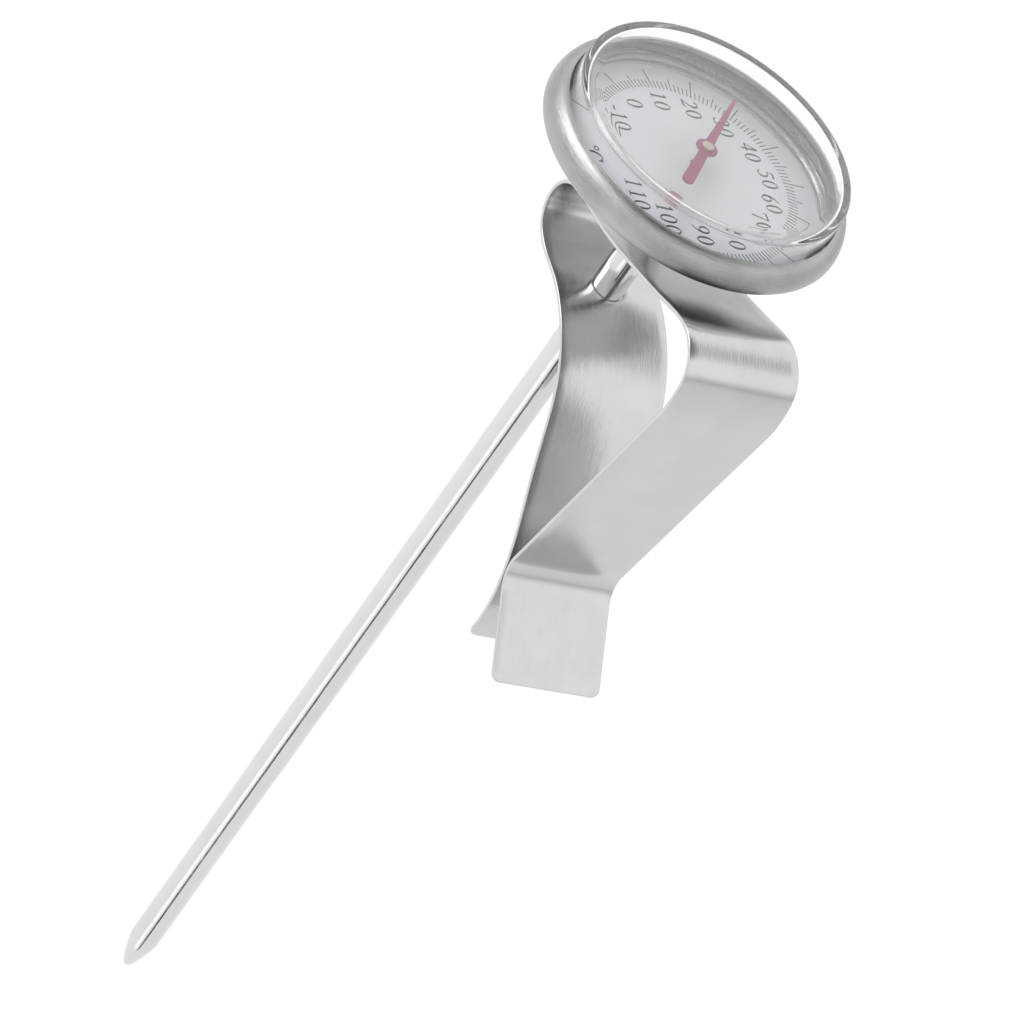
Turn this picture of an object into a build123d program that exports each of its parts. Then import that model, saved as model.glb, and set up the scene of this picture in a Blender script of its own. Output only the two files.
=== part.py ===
from math import cos, pi, radians, sin, tan
import os

from build123d import *

os.makedirs("parts", exist_ok=True)

# Frame: millimetres, +Z up the stem towards the dial, origin on the stem's axis at the
# top of the sensing section, the line the liquid must reach. The clip reaches out along
# +X. Heights below are measured from the case's flat back, which is BACK_Z above the origin.
BACK_Z = 105.8
SIDE = Plane(origin=(0, 0, BACK_Z), x_dir=(1, 0, 0), z_dir=(0, -1, 0))

# Case
CASE_R = 19.0
BACK_R = 11.0
WALL = 0.5
RIM_Z = 4.7
LIP_R = 17.25
LIP_Z = 7.3
BUSH_NECK_R = 2.6
CONE_SLOPE = radians(31.4)
CONE_LOW = (14.2, 0.9)
CONE_HIGH = (18.2, 0.9 + 4.0 * tan(CONE_SLOPE))
CONE_LOW_IN = (CONE_LOW[0] - WALL * sin(CONE_SLOPE), CONE_LOW[1] + WALL * cos(CONE_SLOPE))
CONE_HIGH_IN = (CONE_HIGH[0] - WALL * sin(CONE_SLOPE), CONE_HIGH[1] + WALL * cos(CONE_SLOPE))

# Lens
LENS_R = 17.05
LENS_INNER_R = 16.0
LENS_FOOT_R = 17.75
LENS_FOOT_H = 1.05
LENS_TOP_Z = 10.75
LENS_TOP_T = 1.25
LENS_BEND_R = 0.35
LENS_CROWN_W = 2.0
LENS_CROWN_H = 0.8
SEAL_T = 0.45

# Dial
DIAL_R = 17.3
DIAL_T = 0.4
DIAL_Z = 3.85
DIAL_HOLE_R = 0.7

# Stem
STEM_R = 2.0
STEM_BORE_R = 1.7
STEM_TOP_Z = 3.0
SENSE_R = 1.95
SENSE_TOP_Z = -BACK_Z
SENSE_TAPER_L = 0.8
POINT_TOP_Z = -140.2
TIP_Z = -146.3
NOSE_R = 0.65
NOSE_LEAN = radians(23)
SPIGOT_R = 1.68
SPIGOT_L = 3.0

# Movement
SPINDLE_R = 0.4
SPINDLE_TOP_Z = 6.85
BEARING_GAP = 0.04
BEARING_L = 1.6
MIDDLE_BEARING_Z = -55.0
LOWER_BEARING_Z = -104.0
FERRULE_Z = -108.0
FERRULE_R = 1.25
FERRULE_L = 1.6
ANCHOR_Z = -137.1
ANCHOR_L = 1.5
COIL_R = 1.2
COIL_PITCH = 1.5
COIL_STRIP_W = 0.9
COIL_STRIP_T = 0.2
COIL_GAP = 0.06

# Pointer
POINTER_Z = 6.55
POINTER_T = 0.25
POINTER_DEG = 145.3
POINTER_L = 12.3
POINTER_TAIL_L = 8.3
POINTER_TIP_W = 0.36
POINTER_ROOT_W = 1.25
POINTER_TAIL_W = 1.15
POINTER_TAIL_END_W = 1.5
POINTER_BOSS_R = 1.35
HUB_R = 0.6
HUB_L = 1.1
CAP_R = 0.75
CAP_H = 0.35

# Clip strip
STRIP_W = 14.2
STRIP_T = 0.5
CORNER_R = 1.1
HOLE_R = STEM_R + 0.05
JAW_BEND_R = 4.0
STRIP_STATIONS = 120


def level(height):
    return Plane.XY.offset(BACK_Z + height)


# ---------------------------------------------------------------- case
with BuildPart() as case_cup:
    with BuildSketch(SIDE):
        with BuildLine():
            Line((BUSH_NECK_R, 0), (BACK_R, 0))
            TangentArc((BACK_R, 0), CONE_LOW, tangent=(1, 0))
            Line(CONE_LOW, CONE_HIGH)
            TangentArc(CONE_HIGH, (CASE_R, RIM_Z), tangent=(cos(CONE_SLOPE), sin(CONE_SLOPE)))
            EllipticalCenterArc((LIP_R, RIM_Z), CASE_R - LIP_R, LIP_Z - RIM_Z, arc_size=90)
            Line((LIP_R, LIP_Z), (LIP_R, LIP_Z - WALL))
            EllipticalCenterArc((LIP_R, RIM_Z), CASE_R - LIP_R - WALL, LIP_Z - RIM_Z - WALL, arc_size=90)
            TangentArc((CASE_R - WALL, RIM_Z), CONE_HIGH_IN, tangent=(0, -1))
            Line(CONE_HIGH_IN, CONE_LOW_IN)
            TangentArc((BACK_R, WALL), CONE_LOW_IN, tangent=(1, 0))
            Line((BACK_R, WALL), (BUSH_NECK_R, WALL))
            Line((BUSH_NECK_R, WALL), (BUSH_NECK_R, 0))
        make_face()
    revolve(axis=Axis.Z)
case_cup.part.label = "case_cup"
export_step(case_cup.part, "parts/case_cup.step")

# ---------------------------------------------------------------- lens and seal
lens_foot_z = DIAL_Z + SEAL_T
with BuildPart() as lens:
    with BuildSketch(SIDE):
        with BuildLine():
            Polyline(
                (0, LENS_TOP_Z),
                (0, LENS_TOP_Z - LENS_TOP_T),
                (LENS_INNER_R, LENS_TOP_Z - LENS_TOP_T),
                (LENS_INNER_R, lens_foot_z),
                (LENS_FOOT_R, lens_foot_z),
                (LENS_FOOT_R, lens_foot_z + LENS_FOOT_H),
                (LENS_R, lens_foot_z + LENS_FOOT_H),
                (LENS_R, LENS_TOP_Z - LENS_CROWN_H),
            )
            EllipticalCenterArc(
                (LENS_R - LENS_CROWN_W, LENS_TOP_Z - LENS_CROWN_H), LENS_CROWN_W, LENS_CROWN_H, arc_size=90
            )
            Line((LENS_R - LENS_CROWN_W, LENS_TOP_Z), (0, LENS_TOP_Z))
        make_face()
    revolve(axis=Axis.Z)
    inner_corner = lens.edges().filter_by(GeomType.CIRCLE).filter_by(
        lambda e: abs(e.radius - LENS_INNER_R) < 0.01 and e.center().Z > BACK_Z + LENS_TOP_Z - 2.0
    )
    fillet(inner_corner, radius=LENS_BEND_R)
lens.part.label = "lens"
export_step(lens.part, "parts/lens.step")

with BuildPart() as lens_seal:
    with BuildSketch(level(DIAL_Z)):
        Circle(DIAL_R - 0.05)
        Circle(LENS_INNER_R + 0.1, mode=Mode.SUBTRACT)
    extrude(amount=SEAL_T)
lens_seal.part.label = "lens_seal"
export_step(lens_seal.part, "parts/lens_seal.step")

# ---------------------------------------------------------------- dial
with BuildPart() as dial_plate:
    with BuildSketch(level(DIAL_Z - DIAL_T)):
        Circle(DIAL_R)
        Circle(DIAL_HOLE_R, mode=Mode.SUBTRACT)
    extrude(amount=DIAL_T)
dial_plate.part.label = "dial_plate"
export_step(dial_plate.part, "parts/dial_plate.step")

# ---------------------------------------------------------------- bush
with BuildPart() as stem_bush:
    with BuildSketch(SIDE):
        with BuildLine():
            Polyline(
                (STEM_R, 0),
                (BUSH_NECK_R, 0),
                (BUSH_NECK_R, WALL),
                (5.0, WALL),
                (5.0, 1.4),
                (3.3, 1.4),
                (3.3, DIAL_Z - DIAL_T),
                (DIAL_HOLE_R, DIAL_Z - DIAL_T),
                (DIAL_HOLE_R, STEM_TOP_Z),
                (STEM_R, STEM_TOP_Z),
                close=True,
            )
        make_face()
    revolve(axis=Axis.Z)
stem_bush.part.label = "stem_bush"
export_step(stem_bush.part, "parts/stem_bush.step")

# ---------------------------------------------------------------- stem
with BuildPart() as stem_tube:
    with BuildSketch(SIDE):
        with BuildLine():
            Polyline(
                (STEM_BORE_R, STEM_TOP_Z),
                (STEM_R, STEM_TOP_Z),
                (STEM_R, SENSE_TOP_Z + SENSE_TAPER_L),
                (SENSE_R, SENSE_TOP_Z),
                (SENSE_R, POINT_TOP_Z),
                (STEM_BORE_R, POINT_TOP_Z),
                close=True,
            )
        make_face()
    revolve(axis=Axis.Z)
stem_tube.part.label = "stem_tube"
export_step(stem_tube.part, "parts/stem_tube.step")

nose_z = TIP_Z + NOSE_R
nose_half = (NOSE_LEAN + pi / 2) / 2
nose_edge = (NOSE_R * cos(NOSE_LEAN), nose_z - NOSE_R * sin(NOSE_LEAN))
nose_middle = (NOSE_R * cos(nose_half), nose_z - NOSE_R * sin(nose_half))
with BuildPart() as stem_tip:
    with BuildSketch(SIDE):
        with BuildLine():
            Line((0, POINT_TOP_Z + SPIGOT_L), (SPIGOT_R, POINT_TOP_Z + SPIGOT_L))
            Line((SPIGOT_R, POINT_TOP_Z + SPIGOT_L), (SPIGOT_R, POINT_TOP_Z))
            Line((SPIGOT_R, POINT_TOP_Z), (SENSE_R, POINT_TOP_Z))
            Spline(
                (SENSE_R, POINT_TOP_Z),
                (1.6, POINT_TOP_Z - 2.3),
                nose_edge,
                tangents=[(0, -1), (-sin(NOSE_LEAN), -cos(NOSE_LEAN))],
            )
            ThreePointArc(nose_edge, nose_middle, (0, TIP_Z))
            Line((0, TIP_Z), (0, POINT_TOP_Z + SPIGOT_L))
        make_face()
    revolve(axis=Axis.Z)
stem_tip.part.label = "stem_tip"
export_step(stem_tip.part, "parts/stem_tip.step")


# ---------------------------------------------------------------- movement
def ring(z, r_out, r_in, length):
    with BuildPart() as piece:
        with BuildSketch(level(z)):
            Circle(r_out)
            Circle(r_in, mode=Mode.SUBTRACT)
        extrude(amount=length)
    return piece.part


bearings = (
    ("upper_bearing", STEM_TOP_Z - BEARING_L),
    ("middle_bearing", MIDDLE_BEARING_Z),
    ("lower_bearing", LOWER_BEARING_Z),
)
for name, z in bearings:
    bearing = ring(z, STEM_BORE_R, SPINDLE_R + BEARING_GAP, BEARING_L)
    bearing.label = name
    export_step(bearing, f"parts/{name}.step")

with BuildPart() as coil_anchor:
    with BuildSketch(level(ANCHOR_Z)):
        Circle(STEM_BORE_R)
    extrude(amount=ANCHOR_L)
coil_anchor.part.label = "coil_anchor"
export_step(coil_anchor.part, "parts/coil_anchor.step")

coil_bottom = ANCHOR_Z + ANCHOR_L + COIL_STRIP_W / 2
coil_top = FERRULE_Z - COIL_GAP - COIL_STRIP_W / 2
with BuildPart() as bimetal_coil:
    with BuildLine() as coil_path:
        Helix(pitch=COIL_PITCH, height=coil_top - coil_bottom, radius=COIL_R, center=(0, 0, BACK_Z + coil_bottom))
    with BuildSketch(Plane(origin=(COIL_R, 0, BACK_Z + coil_bottom), x_dir=(1, 0, 0), z_dir=(0, 1, 0))):
        Rectangle(COIL_STRIP_T, COIL_STRIP_W)
    sweep(path=coil_path.line, is_frenet=True)
bimetal_coil.part.label = "bimetal_coil"
export_step(bimetal_coil.part, "parts/bimetal_coil.step")

with BuildPart() as spindle:
    with BuildSketch(level(FERRULE_Z)):
        Circle(SPINDLE_R)
    extrude(amount=SPINDLE_TOP_Z - FERRULE_Z)
spindle.part.label = "spindle"
export_step(spindle.part, "parts/spindle.step")

coil_ferrule = ring(FERRULE_Z, FERRULE_R, SPINDLE_R, FERRULE_L)
coil_ferrule.label = "coil_ferrule"
export_step(coil_ferrule, "parts/coil_ferrule.step")

# ---------------------------------------------------------------- pointer
pointer_hub = ring(POINTER_Z - HUB_L, HUB_R, SPINDLE_R, HUB_L)
pointer_hub.label = "pointer_hub"
export_step(pointer_hub, "parts/pointer_hub.step")

with BuildPart() as pointer:
    with BuildSketch(level(POINTER_Z).rotated((0, 0, POINTER_DEG))):
        with BuildLine():
            Polyline(
                (0, POINTER_ROOT_W / 2),
                (POINTER_L - POINTER_TIP_W, POINTER_TIP_W / 2),
                (POINTER_L, 0),
                (POINTER_L - POINTER_TIP_W, -POINTER_TIP_W / 2),
                (0, -POINTER_ROOT_W / 2),
                close=True,
            )
        make_face()
        tail_r = POINTER_TAIL_END_W / 2
        with BuildLine():
            Polyline(
                (0, POINTER_TAIL_W / 2),
                (tail_r - POINTER_TAIL_L, tail_r),
                (tail_r - POINTER_TAIL_L, -tail_r),
                (0, -POINTER_TAIL_W / 2),
                close=True,
            )
        make_face()
        Circle(POINTER_BOSS_R)
        with Locations((tail_r - POINTER_TAIL_L, 0)):
            Circle(tail_r)
        Circle(SPINDLE_R, mode=Mode.SUBTRACT)
    extrude(amount=POINTER_T)
pointer.part.label = "pointer"
export_step(pointer.part, "parts/pointer.step")

with BuildPart() as pointer_cap:
    with BuildSketch(level(POINTER_Z + POINTER_T)):
        Circle(CAP_R)
    extrude(amount=CAP_H)
    with BuildSketch(level(POINTER_Z + POINTER_T)):
        Circle(SPINDLE_R)
    extrude(amount=SPINDLE_TOP_Z - POINTER_Z - POINTER_T, mode=Mode.SUBTRACT)
    cap_rim = pointer_cap.edges().filter_by(GeomType.CIRCLE).group_by(Axis.Z)[-1]
    fillet(cap_rim, radius=0.15)
pointer_cap.part.label = "pointer_cap"
export_step(pointer_cap.part, "parts/pointer_cap.step")

# ---------------------------------------------------------------- clip
# Side view of the strip's middle line: flared end, jaw bend, front leg, shoulder,
# upper leaf with the first hole, loop, rear leaf with the second hole, rear leg, tip.
flare_end = (34.25, -47.0)
jaw_corner = (24.05, -39.0)
leg_top = (30.2, -5.0)
shoulder = ((30.0, -1.5), (29.1, 0.8), (27.0, 2.2), (24.5, 2.5), (21.9, 1.85), (18.3, 0.4))
upper_leaf = ((12.6, -1.8), (6.2, -4.1), (0.0, -5.85), (-5.2, -7.05))
loop = ((-8.2, -8.45), (-9.85, -11.0), (-9.3, -13.8), (-7.2, -15.45), (-4.0, -15.95))
rear_leaf = ((0.0, -15.85), (3.2, -16.25), (6.4, -17.25), (9.6, -18.9))
rear_leg = ((12.7, -21.7), (16.1, -26.7), (19.55, -31.8), (23.0, -36.9))
rear_tip = ((24.1, -39.1), (25.15, -42.0), (25.75, -45.4), (25.55, -48.8))


with BuildLine() as strip_line:
    FilletPolyline(flare_end, jaw_corner, leg_top, radius=JAW_BEND_R)
    Spline(leg_top, *shoulder, *upper_leaf, *loop, *rear_leaf, *rear_leg, *rear_tip)
strip_path = strip_line.wire()


def strip_side(distance):
    points = []
    for step in range(STRIP_STATIONS + 1):
        along = step / STRIP_STATIONS
        here = strip_path @ along
        way = strip_path % along
        points.append((here.X - way.Y * distance, here.Y + way.X * distance))
    return points


with BuildPart() as clip:
    with BuildSketch(SIDE):
        with BuildLine():
            one_face = Spline(*strip_side(STRIP_T / 2))
            other_face = Spline(*strip_side(-STRIP_T / 2))
            Line(one_face @ 0, other_face @ 0)
            Line(one_face @ 1, other_face @ 1)
        make_face()
    extrude(amount=STRIP_W / 2, both=True)
    with BuildSketch(level(TIP_Z)):
        Circle(HOLE_R)
    extrude(amount=-TIP_Z, mode=Mode.SUBTRACT)
    strip_ends = clip.faces().filter_by(lambda f: abs(f.area - STRIP_W * STRIP_T) < 0.05)
    corners = strip_ends.edges().filter_by(lambda e: abs(e.length - STRIP_T) < 0.01)
    fillet(corners, radius=CORNER_R)
clip.part.label = "clip"
export_step(clip.part, "parts/clip.step")
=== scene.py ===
import math

import bmesh
import bpy
import numpy as np
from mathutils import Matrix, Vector
from mathutils.geometry import delaunay_2d_cdt


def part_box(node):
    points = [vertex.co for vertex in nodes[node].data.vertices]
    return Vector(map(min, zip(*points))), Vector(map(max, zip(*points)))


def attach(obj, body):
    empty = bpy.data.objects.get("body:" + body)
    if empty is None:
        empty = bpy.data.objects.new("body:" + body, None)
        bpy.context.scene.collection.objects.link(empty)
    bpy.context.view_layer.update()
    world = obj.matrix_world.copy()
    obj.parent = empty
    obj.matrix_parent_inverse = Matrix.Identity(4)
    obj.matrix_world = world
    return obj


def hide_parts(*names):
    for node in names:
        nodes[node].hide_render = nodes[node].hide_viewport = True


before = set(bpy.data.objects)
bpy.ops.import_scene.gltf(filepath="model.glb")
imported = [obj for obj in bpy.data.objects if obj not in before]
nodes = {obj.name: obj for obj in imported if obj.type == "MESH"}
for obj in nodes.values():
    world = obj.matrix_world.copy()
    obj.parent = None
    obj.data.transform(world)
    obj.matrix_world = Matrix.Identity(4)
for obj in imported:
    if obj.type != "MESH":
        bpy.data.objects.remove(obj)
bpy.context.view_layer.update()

# Lengths below are millimetres, unless said otherwise. Heights are measured from the case's
# flat back.
MM = 0.001
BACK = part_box("case_cup")[0].z / MM
DIAL_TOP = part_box("dial_plate")[1].z / MM - BACK
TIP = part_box("stem_tip")[0].z / MM - BACK


# ---------------------------------------------------------------- materials
SKIN_DEPTH = 0.00002  # depth of the surfaces' fine relief, in metres


class Finish:
    """A material whose nodes are added one call at a time."""

    def __init__(self, name, colour, roughness, metallic=0.0, **sockets):
        self.material = bpy.data.materials.new(name)
        self.material.use_nodes = True
        self.tree = self.material.node_tree
        self.shader = self.tree.nodes["Principled BSDF"]
        values = {"Base Color": (*colour, 1.0), "Roughness": roughness, "Metallic": metallic}
        for socket, value in {**values, **sockets}.items():
            self.shader.inputs[socket].default_value = value

    def node(self, kind, *links, **settings):
        made = self.tree.nodes.new("ShaderNode" + kind)
        for key, value in settings.items():
            setattr(made, key, value)
        for place, source in enumerate(links):
            self.feed(made.inputs[place], source)
        return made

    def feed(self, socket, source):
        if hasattr(source, "links"):
            self.tree.links.new(source, socket)
        elif hasattr(source, "outputs"):
            self.tree.links.new(source.outputs[0], socket)
        elif source is not None:
            socket.default_value = source

    def maths(self, operation, *links):
        return self.node("Math", *links, operation=operation)

    def scaled(self, source, scale):
        return self.node("Mapping", source, None, None, scale, vector_type="POINT")

    def noise(self, source, detail=3.0):
        made = self.node("TexNoise", source)
        made.inputs["Scale"].default_value = 1.0
        made.inputs["Detail"].default_value = detail
        return made

    def spread(self, source, low, high):
        """The middle of a noise's range, 0.3 to 0.7, spread out from low to high."""
        return self.node("MapRange", source, 0.3, 0.7, low, high)

    def blend(self, factor, dark, light):
        made = self.node("Mix", data_type="RGBA")
        self.feed(made.inputs["Factor"], factor)
        made.inputs["A"].default_value = (*dark, 1.0)
        made.inputs["B"].default_value = (*light, 1.0)
        return made.outputs["Result"]

    def bump(self, height, strength):
        made = self.node("Bump")
        made.inputs["Strength"].default_value = strength
        made.inputs["Distance"].default_value = SKIN_DEPTH
        self.feed(made.inputs["Height"], height)
        self.feed(self.shader.inputs["Normal"], made)

    def set(self, socket, source):
        self.feed(self.shader.inputs[socket], source)

    def place(self):
        return self.node("TexCoord").outputs["Object"]

    def round_place(self, reach):
        """Coordinates round the stem's axis: (arc length at reach, distance out, height)."""
        parts = self.node("SeparateXYZ", self.place())
        x, y, z = parts.outputs[0], parts.outputs[1], parts.outputs[2]
        angle = self.maths("ARCTAN2", y, x)
        squares = [self.maths("MULTIPLY", value, value) for value in (x, y)]
        out = self.maths("SQRT", self.maths("ADD", *squares))
        return self.node("CombineXYZ", self.maths("MULTIPLY", angle, reach), out, z)


def steel(name, dark, light, rough, grain_place, grain, marks, grain_depth=0.12):
    """Stainless steel: fine grain drawn out one way, broad patches and a few worn marks."""
    made = Finish(name, light, rough[0], metallic=1.0)
    place = grain_place(made)
    fine = made.noise(made.scaled(place, grain), detail=4.0)
    broad = made.noise(made.scaled(made.place(), (marks, marks, marks)), detail=2.0)
    worn = made.noise(made.scaled(place, tuple(value * 0.23 for value in grain)), detail=6.0)
    made.set("Base Color", made.blend(made.spread(broad, 0.0, 1.0), dark, light))
    uneven = made.maths("ADD", made.spread(fine, -0.5, 0.5), made.spread(worn, -0.5, 0.5))
    made.set("Roughness", made.node("MapRange", uneven, -0.8, 0.8, rough[0], rough[1]))
    made.bump(uneven, grain_depth)
    return made.material


def strip_place(made):
    return made.node("Attribute", attribute_name="strip").outputs["Vector"]


case_steel = steel(
    "case_steel", (0.36, 0.36, 0.355), (0.42, 0.42, 0.415), (0.22, 0.40),
    lambda made: made.round_place(0.019), (700.0, 20000.0, 20000.0), 240.0, grain_depth=0.6,
)
stem_steel = steel(
    "stem_steel", (0.63, 0.63, 0.63), (0.66, 0.66, 0.66), (0.08, 0.15),
    lambda made: made.round_place(0.002), (14000.0, 300.0, 420.0), 320.0, grain_depth=0.08,
)
clip_steel = steel(
    "clip_steel", (0.555, 0.555, 0.555), (0.59, 0.59, 0.59), (0.15, 0.25),
    strip_place, (1500.0, 7000.0, 7000.0), 210.0, grain_depth=0.20,
)
spindle_steel = steel(
    "spindle_steel", (0.52, 0.52, 0.52), (0.62, 0.62, 0.62), (0.25, 0.4),
    lambda made: made.round_place(0.0004), (20000.0, 300.0, 500.0), 300.0,
)


def coloured(name, dark, light, rough, metallic, size, depth):
    """Enamel, paint, plastic or soft metal: uneven colour and gloss with a fine skin."""
    made = Finish(name, light, rough[0], metallic=metallic)
    broad = made.noise(made.scaled(made.place(), (size,) * 3), detail=3.0)
    skin = made.noise(made.scaled(made.place(), (size * 14,) * 3), detail=2.0)
    made.set("Base Color", made.blend(made.spread(broad, 0.0, 1.0), dark, light))
    made.set("Roughness", made.spread(skin, rough[0], rough[1]))
    made.bump(skin, depth)
    return made.material


dial_enamel = coloured(
    "dial_enamel", (0.87, 0.89, 0.925), (0.90, 0.92, 0.95), (0.38, 0.5), 0.0, 120.0, 0.05)
ink = coloured(
    "dial_ink", (0.045, 0.045, 0.05), (0.075, 0.075, 0.082), (0.45, 0.6), 0.0, 700.0, 0.05)
pointer_paint = coloured(
    "pointer_paint", (0.38, 0.065, 0.16), (0.45, 0.085, 0.20), (0.3, 0.42), 0.0, 500.0, 0.06)
cap_metal = coloured(
    "cap_metal", (0.50, 0.44, 0.36), (0.62, 0.56, 0.47), (0.32, 0.5), 0.8, 900.0, 0.2)
brass = coloured(
    "brass", (0.62, 0.48, 0.24), (0.74, 0.60, 0.33), (0.25, 0.4), 1.0, 600.0, 0.1)
bimetal = coloured(
    "bimetal", (0.46, 0.40, 0.32), (0.62, 0.55, 0.44), (0.3, 0.45), 1.0, 800.0, 0.1)
bearing_plastic = coloured(
    "bearing_plastic", (0.82, 0.81, 0.76), (0.88, 0.88, 0.84), (0.4, 0.55), 0.0, 300.0, 0.1)
seal_rubber = coloured(
    "seal_rubber", (0.66, 0.67, 0.68), (0.74, 0.75, 0.76), (0.5, 0.65), 0.0, 300.0, 0.1)

acrylic = {"Transmission Weight": 1.0, "IOR": 1.49}
clear = Finish("clear_lens", (0.985, 0.992, 0.995), 0.01, **acrylic)
ripples = clear.noise(clear.scaled(clear.round_place(0.017), (40.0, 900.0, 2600.0)), detail=3.0)
haze = clear.noise(clear.scaled(clear.place(), (160.0,) * 3), detail=4.0)
clear.set("Roughness", clear.spread(haze, 0.0, 0.035))
clear.bump(ripples, 0.03)
clear_lens = clear.material


# ---------------------------------------------------------------- shapes
def piece(name, verts, faces, material, body, slot, replaced=(), sharp=32):
    mesh = bpy.data.meshes.new(name)
    mesh.from_pydata([(x * MM, y * MM, (BACK + h) * MM) for x, y, h in verts], [], faces)
    work = bmesh.new()
    work.from_mesh(mesh)
    bmesh.ops.recalc_face_normals(work, faces=work.faces)
    work.to_mesh(mesh)
    work.free()
    mesh.shade_smooth()
    mesh.set_sharp_from_angle(angle=math.radians(sharp))
    mesh.materials.append(material)
    made = bpy.data.objects.new(name, mesh)
    bpy.context.collection.objects.link(made)
    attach(made, body)
    if replaced:
        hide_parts(*replaced)
    return made


def lathe(profile, segments=256):
    """A closed profile of (radius, height) points turned round the stem's axis."""
    angles = [2 * math.pi * i / segments for i in range(segments)]
    turns = [(math.cos(angle), math.sin(angle)) for angle in angles]
    verts, rings = [], []
    for radius, height in profile:
        spots = turns if radius > 1e-6 else turns[:1]
        rings.append([len(verts) + i for i in range(len(spots))])
        verts += [(radius * c, radius * s, height) for c, s in spots]
    faces = []
    for one, two in zip(rings, rings[1:] + rings[:1]):
        if len(one) == 1 and len(two) == 1:
            continue
        for i in range(segments):
            j = (i + 1) % segments
            corners = [one[i % len(one)], one[j % len(one)], two[j % len(two)], two[i % len(two)]]
            faces.append(list(dict.fromkeys(corners)))
    return verts, faces


def ellipse(centre, out, up, start, end, steps):
    """Points along an elliptical arc, from the angle start to the angle end in degrees."""
    points = []
    for i in range(steps + 1):
        turn = math.radians(start + (end - start) * i / steps)
        points.append((centre[0] + out * math.cos(turn), centre[1] + up * math.sin(turn)))
    return points


def leaving(start, lean, end, steps=10):
    """The arc that leaves start at the angle lean and ends at end, without its first point."""
    run = math.hypot(end[0] - start[0], end[1] - start[1])
    turn = math.atan2(end[1] - start[1], end[0] - start[0]) - lean
    points = []
    for i in range(1, steps + 1):
        part = turn * i / steps
        chord = run * math.sin(part) / math.sin(turn)
        way = lean + part
        points.append((start[0] + chord * math.cos(way), start[1] + chord * math.sin(way)))
    return points


def fair(points, start=None, end=None, step=0.05):
    """A smooth line through the points, with the given directions at its ends, in short steps."""
    knots = np.array(points, float)
    gaps = np.linalg.norm(np.diff(knots, axis=0), axis=1)
    at = np.concatenate([[0.0], np.cumsum(gaps)])

    def end_slope(places, spots):
        """The slope at the first point of the cubic through four points."""
        slope = np.zeros(2)
        for i in range(4):
            others = [k for k in range(4) if k != i]
            if i == 0:
                weight = sum(1.0 / (places[0] - places[k]) for k in others)
            else:
                top = np.prod([places[0] - places[k] for k in others if k != 0])
                weight = top / np.prod([places[i] - places[k] for k in others])
            slope += weight * spots[i]
        return slope

    first = np.array(start, float) if start is not None else end_slope(at[:4], knots[:4])
    last = np.array(end, float) if end is not None else end_slope(at[::-1][:4], knots[::-1][:4])
    count = len(knots)
    system = np.zeros((count, count))
    right = np.zeros((count, 2))
    system[0, 0] = system[-1, -1] = 1.0
    right[0], right[-1] = first, last
    for i in range(1, count - 1):
        before, after = gaps[i - 1], gaps[i]
        system[i, i - 1], system[i, i], system[i, i + 1] = after, 2 * (before + after), before
        rise_before = (knots[i] - knots[i - 1]) / before
        rise_after = (knots[i + 1] - knots[i]) / after
        right[i] = 3 * (after * rise_before + before * rise_after)
    slopes = np.linalg.solve(system, right)
    line = []
    for i in range(count - 1):
        pieces = max(2, int(gaps[i] / step))
        for k in range(pieces):
            u = k / pieces
            line.append(
                (2 * u**3 - 3 * u**2 + 1) * knots[i]
                + (u**3 - 2 * u**2 + u) * gaps[i] * slopes[i]
                + (3 * u**2 - 2 * u**3) * knots[i + 1]
                + (u**3 - u**2) * gaps[i] * slopes[i + 1]
            )
    line.append(knots[-1])
    return [tuple(point) for point in line]


# ---------------------------------------------------------------- case
CASE_R, LIP_R, BACK_R, BUSH_R = 19.0, 17.25, 11.0, 2.6
WALL = 0.5
RIM_MIDDLE, RIM_RISE = 4.7, 2.6
CONE = math.radians(31.4)
CONE_LOW_R, CONE_HIGH_R, CONE_LOW = 14.2, 18.2, 0.9
low_out = (CONE_LOW_R, CONE_LOW)
high_out = (CONE_HIGH_R, CONE_LOW + (CONE_HIGH_R - CONE_LOW_R) * math.tan(CONE))
low_in = (low_out[0] - WALL * math.sin(CONE), low_out[1] + WALL * math.cos(CONE))
high_in = (high_out[0] - WALL * math.sin(CONE), high_out[1] + WALL * math.cos(CONE))
rim = (LIP_R, RIM_MIDDLE)
back_in = leaving((BACK_R, WALL), 0.0, low_in)[::-1] + [(BACK_R, WALL)]
side_in = leaving((CASE_R - WALL, RIM_MIDDLE), -math.pi / 2, high_in)
case_profile = [(BUSH_R, 0.0), (BACK_R, 0.0)] + leaving((BACK_R, 0.0), 0.0, low_out)
case_profile += [high_out] + leaving(high_out, CONE, (CASE_R, RIM_MIDDLE))
case_profile += ellipse(rim, CASE_R - LIP_R, RIM_RISE, 0, 90, 24)[1:]
case_profile += [(LIP_R, RIM_MIDDLE + RIM_RISE - WALL)]
case_profile += ellipse(rim, CASE_R - LIP_R - WALL, RIM_RISE - WALL, 90, 0, 12)[1:]
case_profile += side_in + back_in + [(BUSH_R, WALL)]
piece("head_case", *lathe(case_profile, 320), case_steel, "thermometer", "case_steel", ["case_cup"])

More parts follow.
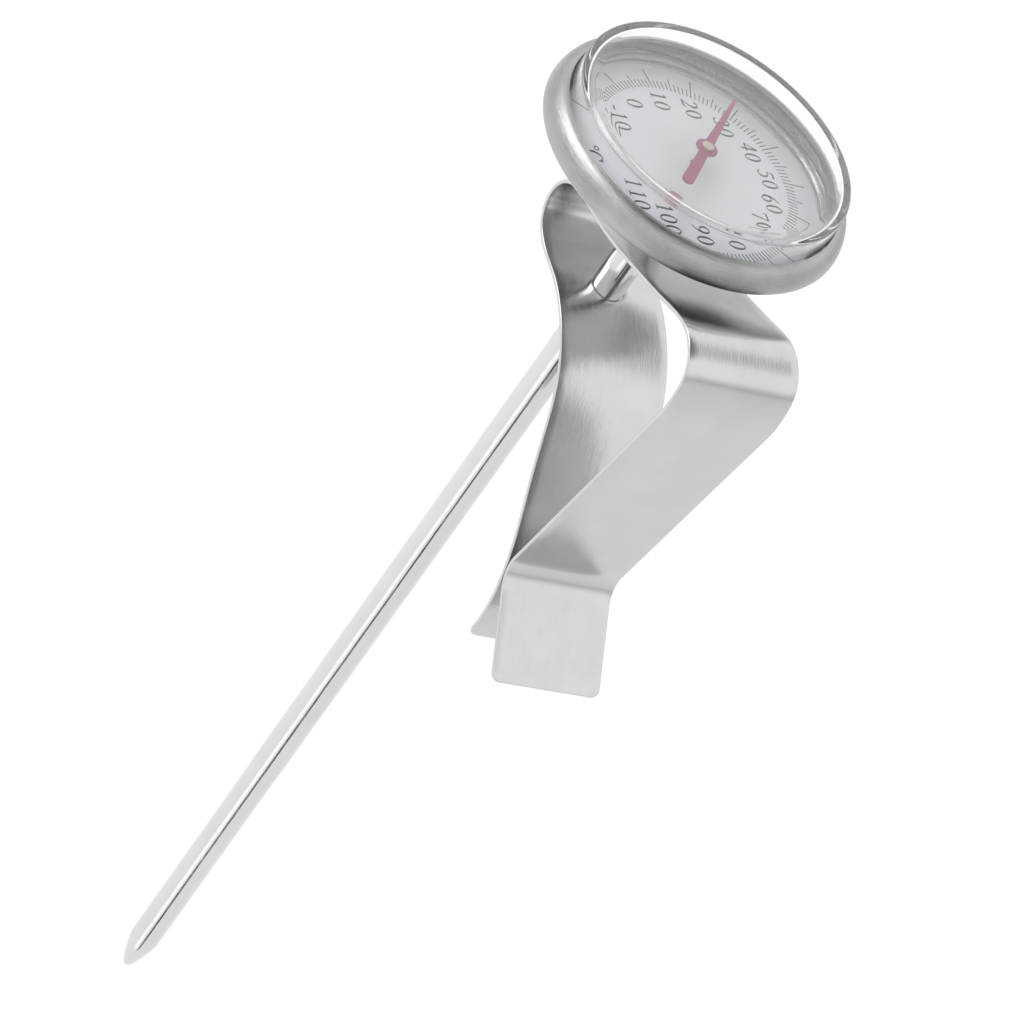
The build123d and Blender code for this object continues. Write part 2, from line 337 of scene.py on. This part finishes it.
# ---------------------------------------------------------------- lens and seal
LENS_R, LENS_INNER_R, LENS_FOOT_R = 17.05, 16.0, 17.75
LENS_FOOT_T, LENS_TOP_T = 1.05, 1.25
CROWN_W, CROWN_H, BEND_R = 2.0, 0.8, 0.35
SEAL_R, SEAL_INNER_R, SEAL_T, SEAL_EDGE = 17.25, 16.1, 0.45, 0.05
seal_top = DIAL_TOP + SEAL_T
foot_top = seal_top + LENS_FOOT_T
lens_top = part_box("lens")[1].z / MM - BACK
lens_under = lens_top - LENS_TOP_T
bend = (LENS_INNER_R - BEND_R, lens_under - BEND_R)
lens_profile = [(0.0, lens_under)] + ellipse(bend, BEND_R, BEND_R, 90, 0, 8)
lens_profile += [(LENS_INNER_R, seal_top), (LENS_FOOT_R, seal_top)]
lens_profile += [(LENS_FOOT_R, foot_top), (LENS_R, foot_top)]
lens_profile += ellipse((LENS_R - CROWN_W, lens_top - CROWN_H), CROWN_W, CROWN_H, 0, 90, 28)
lens_profile += [(0.0, lens_top)]
piece("lens_cup", *lathe(lens_profile, 320), clear_lens, "thermometer", "clear_lens", ["lens"])
seal_low, seal_high = DIAL_TOP, seal_top + 0.02
seal_profile = [(SEAL_INNER_R + SEAL_EDGE, seal_low), (SEAL_R - SEAL_EDGE, seal_low)]
seal_profile += [(SEAL_R, seal_low + SEAL_EDGE), (SEAL_R, seal_high - SEAL_EDGE)]
seal_profile += [(SEAL_R - SEAL_EDGE, seal_high), (SEAL_INNER_R + SEAL_EDGE, seal_high)]
seal_profile += [(SEAL_INNER_R, seal_high - SEAL_EDGE), (SEAL_INNER_R, seal_low + SEAL_EDGE)]
piece("seal_ring", *lathe(seal_profile), seal_rubber, "thermometer", "seal_rubber", ["lens_seal"])

# ---------------------------------------------------------------- dial
DIAL_R, DIAL_HOLE_R, DIAL_T, DIAL_EDGE = 17.3, 0.7, 0.4, 0.04
dial_low = DIAL_TOP - DIAL_T
dial_profile = [(DIAL_HOLE_R, dial_low), (DIAL_R - DIAL_EDGE, dial_low)]
dial_profile += [(DIAL_R, dial_low + DIAL_EDGE), (DIAL_R, DIAL_TOP - DIAL_EDGE)]
dial_profile += [(DIAL_R - DIAL_EDGE, DIAL_TOP), (DIAL_HOLE_R + DIAL_EDGE, DIAL_TOP)]
dial_profile += [(DIAL_HOLE_R, DIAL_TOP - DIAL_EDGE)]
piece("dial_face", *lathe(dial_profile), dial_enamel, "thermometer", "dial_enamel", ["dial_plate"])

# Print on the dial: a tick every degree from -10 to 110, a number every ten.
DIAL_TOP_DEG = 92.14
DEG_PER_UNIT = 2.46337
TICK_START_R = 12.25
TICK_END_R = {10: 15.24, 5: 14.22, 1: 13.5}
NUMBER_R, UNIT_R = 10.1, 12.7
DIGIT_H = 2.2
INK_LOW, INK_HIGH = -0.01, 0.025
ink_verts, ink_faces = [], []


def ribbon(points, closed=False):
    """A raised line of ink through (x, y, width) points on the dial."""
    count = len(points)
    base = len(ink_verts)
    for i, (x, y, width) in enumerate(points):
        ahead = points[(i + 1) % count] if closed or i + 1 < count else points[i]
        behind = points[i - 1] if closed or i else points[i]
        run = math.hypot(ahead[0] - behind[0], ahead[1] - behind[1])
        side_x = -(ahead[1] - behind[1]) / run * width / 2
        side_y = (ahead[0] - behind[0]) / run * width / 2
        for way, height in ((1, INK_LOW), (1, INK_HIGH), (-1, INK_HIGH), (-1, INK_LOW)):
            ink_verts.append((x + way * side_x, y + way * side_y, DIAL_TOP + height))
    for i in range(count if closed else count - 1):
        a, b = base + 4 * i, base + 4 * ((i + 1) % count)
        for k in range(4):
            ink_faces.append([a + k, a + (k + 1) % 4, b + (k + 1) % 4, b + k])
    if not closed:
        ink_faces.append([base + k for k in range(4)])
        ink_faces.append([base + 4 * (count - 1) + k for k in range(4)])


def bow(centre, out, up, start, end, thin=0.045, thick=0.13, steps=16):
    """A curved pen stroke, thick where it runs upright."""
    stroke = []
    for i in range(steps + 1):
        turn = math.radians(start + (end - start) * i / steps)
        width = thin + (thick - thin) * abs(math.cos(turn)) ** 1.4
        stroke.append((centre[0] + out * math.cos(turn), centre[1] + up * math.sin(turn), width))
    return stroke


# Each character is a list of strokes, and each stroke a list of (x, y, width) points, in
# units of the character's height.
six = [
    [
        (0.57, 0.985, 0.03), (0.44, 0.92, 0.055), (0.30, 0.80, 0.09),
        (0.19, 0.64, 0.12), (0.12, 0.44, 0.13), (0.10, 0.30, 0.12),
    ],
    bow((0.32, 0.30), 0.215, 0.275, 0, 360, steps=20)[:-1],
]
GLYPHS = {
    "0": [bow((0.31, 0.5), 0.235, 0.475, 0, 360, steps=24)[:-1]],
    "1": [
        [(0.15, 0.83, 0.035), (0.26, 0.89, 0.05), (0.36, 0.97, 0.05)],
        [(0.34, 0.98, 0.11), (0.34, 0.02, 0.12)],
        [(0.16, 0.02, 0.04), (0.52, 0.02, 0.04)],
    ],
    "2": [
        bow((0.30, 0.70), 0.20, 0.27, 160, -20, thin=0.05),
        [(0.49, 0.61, 0.11), (0.40, 0.41, 0.075), (0.24, 0.22, 0.055), (0.06, 0.06, 0.045)],
        [(0.05, 0.05, 0.10), (0.52, 0.05, 0.10)],
        [(0.52, 0.06, 0.07), (0.60, 0.22, 0.03)],
    ],
    "3": [bow((0.27, 0.745), 0.19, 0.225, 155, -85), bow((0.25, 0.285), 0.25, 0.26, 88, -150)],
    "4": [
        [(0.42, 0.97, 0.05), (0.04, 0.30, 0.05)],
        [(0.03, 0.28, 0.085), (0.61, 0.28, 0.085)],
        [(0.43, 0.99, 0.12), (0.43, 0.0, 0.12)],
    ],
    "5": [
        [(0.19, 0.93, 0.10), (0.50, 0.93, 0.10), (0.58, 0.98, 0.04)],
        [(0.20, 0.96, 0.045), (0.12, 0.62, 0.045)],
        bow((0.24, 0.33), 0.25, 0.30, 118, -140),
    ],
    "6": six,
    "7": [
        [(0.06, 0.94, 0.10), (0.57, 0.94, 0.10)],
        [(0.06, 0.95, 0.06), (0.02, 0.78, 0.03)],
        [(0.56, 0.93, 0.05), (0.40, 0.50, 0.075), (0.26, 0.0, 0.09)],
    ],
    "8": [
        bow((0.31, 0.745), 0.185, 0.215, 0, 360, steps=20)[:-1],
        bow((0.31, 0.275), 0.225, 0.25, 0, 360, steps=20)[:-1],
    ],
    "9": [[(0.62 - x, 1.0 - y, width) for x, y, width in stroke] for stroke in six],
    "-": [[(0.05, 0.36, 0.09), (0.40, 0.36, 0.09)]],
    "C": [
        bow((0.44, 0.5), 0.36, 0.475, 48, 312, thin=0.05, thick=0.14, steps=24),
        [(0.70, 0.70, 0.05), (0.74, 0.97, 0.05)],
    ],
    "o": [bow((0.20, 0.84), 0.13, 0.13, 0, 360, thin=0.055, thick=0.06)[:-1]],
}
ADVANCE = {"-": 0.50, "C": 0.84, "o": 0.42}
DIGIT_ADVANCE = 0.77
top = math.radians(DIAL_TOP_DEG)
up_way = (math.cos(top), math.sin(top))
right_way = (math.sin(top), -math.cos(top))


def write(text, middle, height):
    """Upright characters centred on a point of the dial."""
    total = sum(ADVANCE.get(letter, DIGIT_ADVANCE) for letter in text) - 0.15
    pen = -total / 2
    for letter in text:
        for stroke in GLYPHS[letter]:
            placed = []
            for x, y, width in stroke:
                across, rise = (pen + x) * height, (y - 0.5) * height
                spot_x = middle[0] + right_way[0] * across + up_way[0] * rise
                spot_y = middle[1] + right_way[1] * across + up_way[1] * rise
                placed.append((spot_x, spot_y, width * height))
            gap = math.hypot(placed[0][0] - placed[-1][0], placed[0][1] - placed[-1][1])
            ribbon(placed, closed=len(stroke) > 14 and gap < 0.25 * height)
        pen += ADVANCE.get(letter, DIGIT_ADVANCE)


for degree in range(-10, 111):
    turn = math.radians(DIAL_TOP_DEG + DEG_PER_UNIT * (50 - degree))
    reach = TICK_END_R[10 if degree % 10 == 0 else 5 if degree % 5 == 0 else 1]
    width = 0.12 if degree % 10 == 0 else 0.10
    ribbon([(r * math.cos(turn), r * math.sin(turn), width) for r in (TICK_START_R, reach)])
    if degree % 10 == 0:
        write(str(degree), (NUMBER_R * math.cos(turn), NUMBER_R * math.sin(turn)), DIGIT_H)
write("oC", (-UNIT_R * up_way[0], -UNIT_R * up_way[1]), DIGIT_H)
piece("dial_print", ink_verts, ink_faces, ink, "thermometer", "dial_enamel")

# ---------------------------------------------------------------- stem
STEM_R, SENSOR_R, BORE_R, PLUG_R, NOSE_R = 2.0, 1.95, 1.7, 1.68, 0.65
STEM_TOP, STEP_TOP, STEP_END, TUBE_END, PLUG_TOP = 3.0, -105.0, -105.8, -140.2, -137.2
NOSE_LEAN_DEG = 23
tube_profile = [(BORE_R, STEM_TOP), (SENSOR_R, STEM_TOP), (STEM_R, STEM_TOP - 0.05)]
tube_profile += [(STEM_R, STEP_TOP), (SENSOR_R, STEP_END)]
tube_profile += [(SENSOR_R, TUBE_END), (BORE_R, TUBE_END)]
piece(
    "stem_outer", *lathe(tube_profile, 128), stem_steel,
    "thermometer", "stem_steel", ["stem_tube"],
)
lean = math.radians(NOSE_LEAN_DEG)
nose_edge = (NOSE_R * math.cos(lean), TIP + NOSE_R - NOSE_R * math.sin(lean))
nose_way = (-math.sin(lean), -math.cos(lean))
ogive = fair([(SENSOR_R, TUBE_END), (1.6, -142.5), nose_edge], (0, -1), nose_way, step=0.2)
nose = ellipse((0.0, TIP + NOSE_R), NOSE_R, NOSE_R, -NOSE_LEAN_DEG, -90, 8)[1:-1] + [(0.0, TIP)]
tip_profile = [(0.0, PLUG_TOP), (PLUG_R - 0.08, PLUG_TOP), (PLUG_R, PLUG_TOP - 0.08)]
tip_profile += [(PLUG_R, TUBE_END)] + ogive + nose
piece(
    "stem_point", *lathe(tip_profile, 128), stem_steel,
    "thermometer", "stem_steel", ["stem_tip"],
)

# ---------------------------------------------------------------- pointer
POINTER_DEG = 145.3
BLADE_T, BLADE_EDGE = 0.25, 0.04
TAIL_X, TAIL_R, BOSS_R = 7.55, 0.75, 1.35  # the blunt tail's middle, its radius and the boss's
NEEDLE_X, NEEDLE_END = 11.94, 12.3  # where the needle's point starts and ends
blade_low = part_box("pointer")[0].z / MM - BACK
blade_high = blade_low + BLADE_T
stations = [-TAIL_X - TAIL_R * math.cos(math.pi / 2 * i / 10) for i in range(11)]
stations += [-TAIL_X + 0.15 * i for i in range(1, 130)] + [NEEDLE_X, 12.1, 12.2, 12.28]
needle_turn = math.radians(POINTER_DEG)
across, along = math.sin(needle_turn), math.cos(needle_turn)
verts, faces = [], []
for x in stations:
    if x >= NEEDLE_X:
        arm_half = 0.18 * (NEEDLE_END - x) / 0.36
    elif x >= 0:
        arm_half = 0.625 - (0.625 - 0.18) * x / NEEDLE_X
    elif x > -TAIL_X:
        arm_half = 0.575 - 0.175 * x / TAIL_X
    else:
        arm_half = math.sqrt(max(0.0, TAIL_R**2 - (x + TAIL_X) ** 2))
    boss_half = math.sqrt(max(0.0, BOSS_R**2 - x * x))
    wide = max(arm_half, boss_half, 0.02)
    soft = min(0.05, wide * 0.5)
    lower_half = [(-wide, blade_low + BLADE_EDGE), (-wide + soft, blade_low)]
    lower_half += [(wide - soft, blade_low), (wide, blade_low + BLADE_EDGE)]
    upper_half = [(wide, blade_high - BLADE_EDGE), (wide - soft, blade_high)]
    upper_half += [(-wide + soft, blade_high), (-wide, blade_high - BLADE_EDGE)]
    for y, h in lower_half + upper_half:
        verts.append((x * along - y * across, x * across + y * along, h))
for i in range(len(stations) - 1):
    for k in range(8):
        a, b = 8 * i + k, 8 * i + (k + 1) % 8
        faces.append([a, b, b + 8, a + 8])
faces += [list(range(8)), list(range(len(verts) - 8, len(verts)))]
piece("pointer_blade", verts, faces, pointer_paint, "needle", "pointer_paint", ["pointer"])
CAP_R, CAP_RISE, CAP_BEND, CAP_HOLE_R = 0.75, 0.35, 0.15, 0.4
cap_top = blade_high + CAP_RISE
cap_profile = [(0.0, blade_high + 0.05), (CAP_HOLE_R, blade_high + 0.05)]
cap_profile += [(CAP_HOLE_R, blade_high), (CAP_R, blade_high)]
cap_profile += ellipse((CAP_R - CAP_BEND, cap_top - CAP_BEND), CAP_BEND, CAP_BEND, 0, 90, 6)
cap_profile += [(0.0, cap_top)]
piece(
    "pointer_rivet", *lathe(cap_profile, 96), cap_metal,
    "needle", "cap_metal", ["pointer_cap"],
)
HUB_R, HUB_T, HUB_HOLE_R, HUB_EDGE = 0.6, 1.1, 0.4, 0.04
hub_low = blade_low - HUB_T
hub_profile = [(HUB_HOLE_R, hub_low), (HUB_R - HUB_EDGE, hub_low), (HUB_R, hub_low + HUB_EDGE)]
hub_profile += [(HUB_R, blade_low - HUB_EDGE), (HUB_R - HUB_EDGE, blade_low)]
hub_profile += [(HUB_HOLE_R, blade_low)]
piece("needle_hub", *lathe(hub_profile, 96), brass, "needle", "brass", ["pointer_hub"])

# ---------------------------------------------------------------- clip
# The strip's middle line in side view, as (reach, height): flare, jaw bend, front leg,
# shoulder, upper leaf, loop, rear leaf, rear leg and tip.
flare_end, jaw_corner, leg_top = (34.25, -47.0), (24.05, -39.0), (30.2, -5.0)
JAW_BEND_R = 4.0
STRIP_POINTS = [
    leg_top, (30.0, -1.5), (29.1, 0.8), (27.0, 2.2), (24.5, 2.5), (21.9, 1.85), (18.3, 0.4),
    (12.6, -1.8), (6.2, -4.1), (0.0, -5.85), (-5.2, -7.05),
    (-8.2, -8.45), (-9.85, -11.0), (-9.3, -13.8), (-7.2, -15.45), (-4.0, -15.95),
    (0.0, -15.85), (3.2, -16.25), (6.4, -17.25), (9.6, -18.9),
    (12.7, -21.7), (16.1, -26.7), (19.55, -31.8), (23.0, -36.9),
    (24.1, -39.1), (25.15, -42.0), (25.75, -45.4), (25.55, -48.8),
]
STRIP_HALF = 7.1
STRIP_T = 0.5
CORNER_R = 1.1
EDGE_R = 0.11
HOLE_R = 2.05

to_corner = Vector(jaw_corner) - Vector(flare_end)
from_corner = Vector(leg_top) - Vector(jaw_corner)
turn = to_corner.angle(from_corner)
set_back = JAW_BEND_R * math.tan(turn / 2)
bend_start = Vector(jaw_corner) - to_corner.normalized() * set_back
bend_end = Vector(jaw_corner) + from_corner.normalized() * set_back
jaw_bend = leaving(tuple(bend_start), math.atan2(to_corner.y, to_corner.x), tuple(bend_end), steps=120)
line = np.array([flare_end, tuple(bend_start)] + jaw_bend + fair(STRIP_POINTS, step=0.05))
steps = np.linalg.norm(np.diff(line, axis=0), axis=1)
at = np.concatenate([[0.0], np.cumsum(steps)])
length = at[-1]
fine = np.linspace(0.0, length, 6001)
X = np.interp(fine, at, line[:, 0])
H = np.interp(fine, at, line[:, 1])
slope = np.gradient(np.stack([X, H], axis=1), fine, axis=0)
kernel = np.hanning(25)
kernel /= kernel.sum()
padded_slope = np.pad(slope, ((12, 12), (0, 0)), mode="edge")
slope = np.stack([np.convolve(padded_slope[:, k], kernel, mode="valid") for k in (0, 1)], axis=1)
slope /= np.linalg.norm(slope, axis=1)[:, None]
OUT_X, OUT_H = -slope[:, 1], slope[:, 0]


def on_strip(s, y, t):
    """The place of a point s along the strip, y across it and t out from its middle."""
    x = np.interp(s, fine, X) + t * np.interp(s, fine, OUT_X)
    h = np.interp(s, fine, H) + t * np.interp(s, fine, OUT_H)
    return float(x), float(y), float(h)


crossings = [fine[i] for i in range(len(X) - 1) if X[i] * X[i + 1] < 0]


def hole_point(middle, radius, angle, t):
    """Where an upright round hole's wall meets the layer t of the strip, as (s, y)."""
    near = np.abs(fine - middle) < 3.6
    reach = X[near] + t * OUT_X[near]
    order = np.argsort(reach)
    s = np.interp(radius * math.cos(angle), reach[order], fine[near][order])
    return float(s), radius * math.sin(angle)


# Rings of the rounded edge, from the top face to the bottom one: (inset, height).
edge_turns = (0, math.pi / 6, math.pi / 3, math.pi / 2)
EDGE = [
    (EDGE_R * (1 - math.sin(a)), STRIP_T / 2 - EDGE_R * (1 - math.cos(a))) for a in edge_turns
]
EDGE += [(inset, -height) for inset, height in EDGE[::-1]]

# The strip's outline laid flat: (s, y) and the direction that faces out there.
long_side = np.linspace(CORNER_R, length - CORNER_R, 300)
outline = [(s, -STRIP_HALF, 0.0, -1.0) for s in long_side]
corners = (
    (length - CORNER_R, -1, -90), (length - CORNER_R, 1, 0), (CORNER_R, 1, 90), (CORNER_R, -1, 180),
)
for middle_s, middle_y, start in corners:
    if start == 90:
        outline += [(s, STRIP_HALF, 0.0, 1.0) for s in long_side[::-1]]
    for i in range(9):
        angle = math.radians(start + 90 * i / 8)
        out = (math.cos(angle), math.sin(angle))
        centre_y = middle_y * (STRIP_HALF - CORNER_R)
        spot = (middle_s + CORNER_R * out[0], centre_y + CORNER_R * out[1], *out)
        if all(math.dist(spot[:2], seen[:2]) > 1e-4 for seen in (outline[-1], outline[0])):
            outline.append(spot)
    if start in (-90, 90):
        side = 1 if start == -90 else -1
        place = length if start == -90 else 0.0
        outline += [(place, side * y, side, 0.0) for y in np.linspace(-4.5, 4.5, 7)]

HOLE_SIDES = 64
HOLE_NEAR = 4.0  # how far along the strip from a hole's middle the hole can reach
hole_turns = [2 * math.pi * i / HOLE_SIDES for i in range(HOLE_SIDES)]
flat = [(s - EDGE_R * a, y - EDGE_R * b) for s, y, a, b in outline]
loops = [list(range(len(flat)))]
for middle in crossings:
    loops.append([len(flat) + i for i in range(HOLE_SIDES)])
    flat += [hole_point(middle, HOLE_R + EDGE_R, angle, 0.0) for angle in hole_turns]
for s in long_side[1:-1]:
    for y in np.linspace(-5.9, 5.9, 13):
        reach = float(np.interp(s, fine, X))
        beside = min(abs(s - middle) for middle in crossings) < HOLE_NEAR
        if not (beside and math.hypot(reach, y) < HOLE_R + 0.35):
            flat.append((float(s), float(y)))
rim_pairs = [(loop[i], loop[(i + 1) % len(loop)]) for loop in loops for i in range(len(loop))]
spots, _, triangles, origin, _, _ = delaunay_2d_cdt(
    [Vector(spot) for spot in flat], rim_pairs, [], 0, 1e-6
)
first_of = [sources[0] for sources in origin]


def in_strip(triangle):
    """Whether a triangle is steel, and not a hole or the waste outside a rounded corner."""
    s = sum(spots[k].x for k in triangle) / 3
    y = sum(spots[k].y for k in triangle) / 3
    near_end = min(s, length - s)
    if near_end < CORNER_R and abs(y) > STRIP_HALF - CORNER_R:
        if math.hypot(CORNER_R - near_end, abs(y) - STRIP_HALF + CORNER_R) > CORNER_R - EDGE_R:
            return False
    beside = min(abs(s - middle) for middle in crossings) < HOLE_NEAR
    return not (beside and math.hypot(float(np.interp(s, fine, X)), y) < HOLE_R + EDGE_R)


kept = [[first_of[k] for k in triangle] for triangle in triangles if in_strip(triangle)]
verts, strip_marks, faces = [], [], []


def add_point(s, y, t):
    """Adds a point of the clip, with its place on the flat strip for the steel's grain."""
    verts.append(on_strip(s, y, t))
    strip_marks.append((s * MM, y * MM, t * MM))
    return len(verts) - 1


def rim_point(loop_number, i, inset, t):
    """Point i of the outline or of a hole's rim, moved in from the edge, as (s, y)."""
    if loop_number == 0:
        s, y, a, b = outline[i]
        return s - inset * a, y - inset * b
    return hole_point(crossings[loop_number - 1], HOLE_R + inset, hole_turns[i], t)


inner_start = loops[-1][-1] + 1
for side in (1, -1):
    layer = {}
    t = side * STRIP_T / 2
    for number, loop in enumerate(loops):
        for i, k in enumerate(loop):
            layer[k] = add_point(*rim_point(number, i, EDGE_R, t), t)
    for k in range(inner_start, len(flat)):
        layer[k] = add_point(*flat[k], t)
    faces += [[layer[k] for k in triangle] for triangle in kept]
    if side == 1:
        upper = layer
lower = layer
for number, loop in enumerate(loops):
    rings = [[upper[k] for k in loop]]
    for inset, t in EDGE[1:-1]:
        rings.append([add_point(*rim_point(number, i, inset, t), t) for i in range(len(loop))])
    rings.append([lower[k] for k in loop])
    for one, two in zip(rings, rings[1:]):
        for i in range(len(loop)):
            j = (i + 1) % len(loop)
            faces.append([one[i], one[j], two[j], two[i]])
clip_piece = piece(
    "hanging_clip", verts, faces, clip_steel, "clip", "clip_steel", ["clip"], sharp=60
)
marks = clip_piece.data.attributes.new("strip", "FLOAT_VECTOR", "POINT")
marks.data.foreach_set("vector", np.array(strip_marks, dtype=np.float32).ravel())

# ---------------------------------------------------------------- inner pieces
for names, finish in (
    (("stem_bush", "coil_anchor"), stem_steel),
    (("upper_bearing", "middle_bearing", "lower_bearing"), bearing_plastic),
    (("bimetal_coil",), bimetal),
    (("spindle",), spindle_steel),
    (("coil_ferrule",), brass),
):
    for name in names:
        nodes[name].data.materials.clear()
        nodes[name].data.materials.append(finish)


# ---------------------------------------------------------------- floor, light and camera
FLOOR_HALF = 6.0  # metres, like everything below
floor_z = TIP * MM + BACK * MM - 0.10
floor_mesh = bpy.data.meshes.new("floor")
floor_corners = [(-1, -1), (1, -1), (1, 1), (-1, 1)]
floor_mesh.from_pydata(
    [(x * FLOOR_HALF, y * FLOOR_HALF, floor_z) for x, y in floor_corners], [], [(0, 1, 2, 3)]
)
floor = bpy.data.objects.new("floor", floor_mesh)
bpy.context.collection.objects.link(floor)
floor_mesh.materials.append(
    coloured("floor_paint", (0.93, 0.93, 0.93), (0.94, 0.94, 0.94), (0.7, 0.8), 0.0, 3.0, 0.02)
)

world = bpy.data.worlds.new("studio")
bpy.context.scene.world = world
world.use_nodes = True
sky = world.node_tree
background = sky.nodes["Background"]
background.inputs["Strength"].default_value = 1.2
direction = sky.nodes.new("ShaderNodeTexCoord")
parts = sky.nodes.new("ShaderNodeSeparateXYZ")
sky.links.new(direction.outputs["Generated"], parts.inputs[0])
ramp = sky.nodes.new("ShaderNodeValToRGB")
ramp.color_ramp.elements[0].position = 0.80
ramp.color_ramp.elements[0].color = (1.0, 1.0, 1.0, 1)
ramp.color_ramp.elements[1].position = 0.93
ramp.color_ramp.elements[1].color = (0.16, 0.16, 0.17, 1)
for height, grey in ((0.0, 0.5), (0.3, 1.0)):
    stop = ramp.color_ramp.elements.new(height)
    stop.color = (grey, grey, grey * 1.01, 1)
sky.links.new(parts.outputs[2], ramp.inputs[0])
sky.links.new(ramp.outputs[0], background.inputs["Color"])

light = bpy.data.lights.new("key_light", "AREA")
light.shape = "RECTANGLE"
light.size = light.size_y = 0.7
light.energy = 6.0
key_light = bpy.data.objects.new("key_light", light)
bpy.context.collection.objects.link(key_light)
key_light.location = (-0.5, -0.7, 0.9)
toward_object = Vector((0, 0, 0.05)) - Vector(key_light.location)
key_light.rotation_euler = toward_object.to_track_quat("-Z", "Y").to_euler()


def reflector(name, start_deg, end_deg, brightness, near=0.05, far=1.2):
    """A sector lying just over the floor that the steel reflects and the camera doesn't see."""
    mesh = bpy.data.meshes.new(name)
    turns = [math.radians(start_deg + (end_deg - start_deg) * i / 8) for i in range(9)]
    height = floor_z + 0.002
    arcs = [(r * math.cos(a), r * math.sin(a), height) for r in (near, far) for a in turns]
    mesh.from_pydata(arcs, [], [(i, i + 1, i + 10, i + 9) for i in range(8)])
    made = bpy.data.objects.new(name, mesh)
    bpy.context.collection.objects.link(made)
    glow = Finish(name, (0.0, 0.0, 0.0), 1.0)
    glow.shader.inputs["Emission Color"].default_value = (1.0, 1.0, 1.0, 1.0)
    glow.shader.inputs["Emission Strength"].default_value = brightness
    mesh.materials.append(glow.material)
    made.visible_camera = made.visible_diffuse = False
    made.visible_shadow = made.visible_transmission = False


reflector("dark_gap", -26.0, -15.0, 0.05)
reflector("bright_strip", -60.0, -38.0, 1.5)

camera_data = bpy.data.cameras.new("camera")
camera_data.sensor_width = 36.0
camera_data.lens = 175.7925
camera_data.clip_start, camera_data.clip_end = 0.01, 50.0
camera = bpy.data.objects.new("camera", camera_data)
bpy.context.collection.objects.link(camera)
camera.location = (0.37385792, -0.28408865, 0.41410438)
camera.rotation_euler = [math.radians(value) for value in (46.72102715, -27.80868341, 75.72795511)]
bpy.context.scene.camera = camera
bpy.context.scene.view_settings.view_transform = "Standard"
bpy.context.scene.cycles.max_bounces = 32
bpy.context.scene.cycles.transmission_bounces = 32
bpy.context.scene.cycles.glossy_bounces = 8
